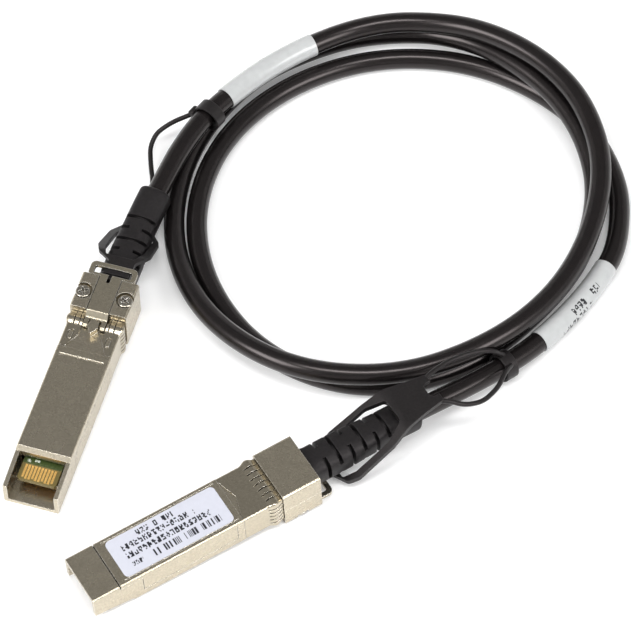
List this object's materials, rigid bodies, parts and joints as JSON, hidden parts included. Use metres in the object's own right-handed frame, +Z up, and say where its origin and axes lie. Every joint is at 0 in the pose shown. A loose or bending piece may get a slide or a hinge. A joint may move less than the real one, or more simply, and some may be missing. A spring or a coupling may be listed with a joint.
{
  "type": "direct attach copper cable",
  "caption": "Coiled black network cable with a metal plug head, strain boot and pull tab at each end.",
  "frame": {"origin": "on the surface the cable lies on, at the centre of the plan box of the two heads with their boots and pull tabs", "axes": "+Z up from the surface; +X and +Y in the surface, with the coil towards +X and +Y and both plug noses towards -Y"},
  "size_m": [0.1504, 0.1735, 0.0166],
  "materials": {
    "nickel_housing": "satin nickel plate on a die-cast body",
    "nickel_slider": "satin nickel plate",
    "spring_steel": "bright spring sheet",
    "screw_steel": "plated steel",
    "green_board": "green solder mask",
    "gold_contact": "gold plate",
    "chip_black": "moulded epoxy",
    "core_insulation": "foil-wrapped core insulation",
    "potting": "moulded block",
    "ferrule_metal": "plated ferrule",
    "label_stock": "satin label film",
    "boot_rubber": "matte moulded rubber",
    "tab_plastic": "soft satin elastomer",
    "cable_black": "smooth satin jacket",
    "sleeve_white": "printed wrap label film"
  },
  "bodies": {
    "cable_assembly": {"base_shell_a": "nickel_housing", "top_cover_a": "nickel_housing", "emi_collar_a": "spring_steel", "cover_screws_a": "screw_steel", "paddle_card_a": "green_board", "contact_pads_a": "gold_contact", "board_parts_a": "chip_black", "wire_cores_a": "core_insulation", "core_clamp_a": "potting", "crimp_ferrule_a": "ferrule_metal", "head_label_a": "label_stock", "strain_boot_a": "boot_rubber", "latch_spring_a": "spring_steel", "cable_label_a": "sleeve_white", "base_shell_b": "nickel_housing", "top_cover_b": "nickel_housing", "emi_collar_b": "spring_steel", "cover_screws_b": "screw_steel", "paddle_card_b": "green_board", "contact_pads_b": "gold_contact", "board_parts_b": "chip_black", "wire_cores_b": "core_insulation", "core_clamp_b": "potting", "crimp_ferrule_b": "ferrule_metal", "head_label_b": "label_stock", "strain_boot_b": "boot_rubber", "latch_spring_b": "spring_steel", "cable_label_b": "sleeve_white", "cable_jacket": "cable_black"},
    "latch_a": {"latch_slider_a": "nickel_slider", "pull_tab_a": "tab_plastic"},
    "latch_b": {"latch_slider_b": "nickel_slider", "pull_tab_b": "tab_plastic"}
  },
  "joints": [
    {"name": "latch_a_pull", "type": "slide", "parent": "cable_assembly", "child": "latch_a", "axis": [0.8561, 0.5144, 0.0503], "range_m": [0, 0.0025], "stiffness_N_per_m": 500, "springref_m": -0.001, "deforming": ["latch_spring_a"]},
    {"name": "latch_b_pull", "type": "slide", "parent": "cable_assembly", "child": "latch_b", "axis": [0.2873, 0.9576, 0.0191], "range_m": [0, 0.0025], "stiffness_N_per_m": 500, "springref_m": -0.001, "deforming": ["latch_spring_b"]}
  ]
}
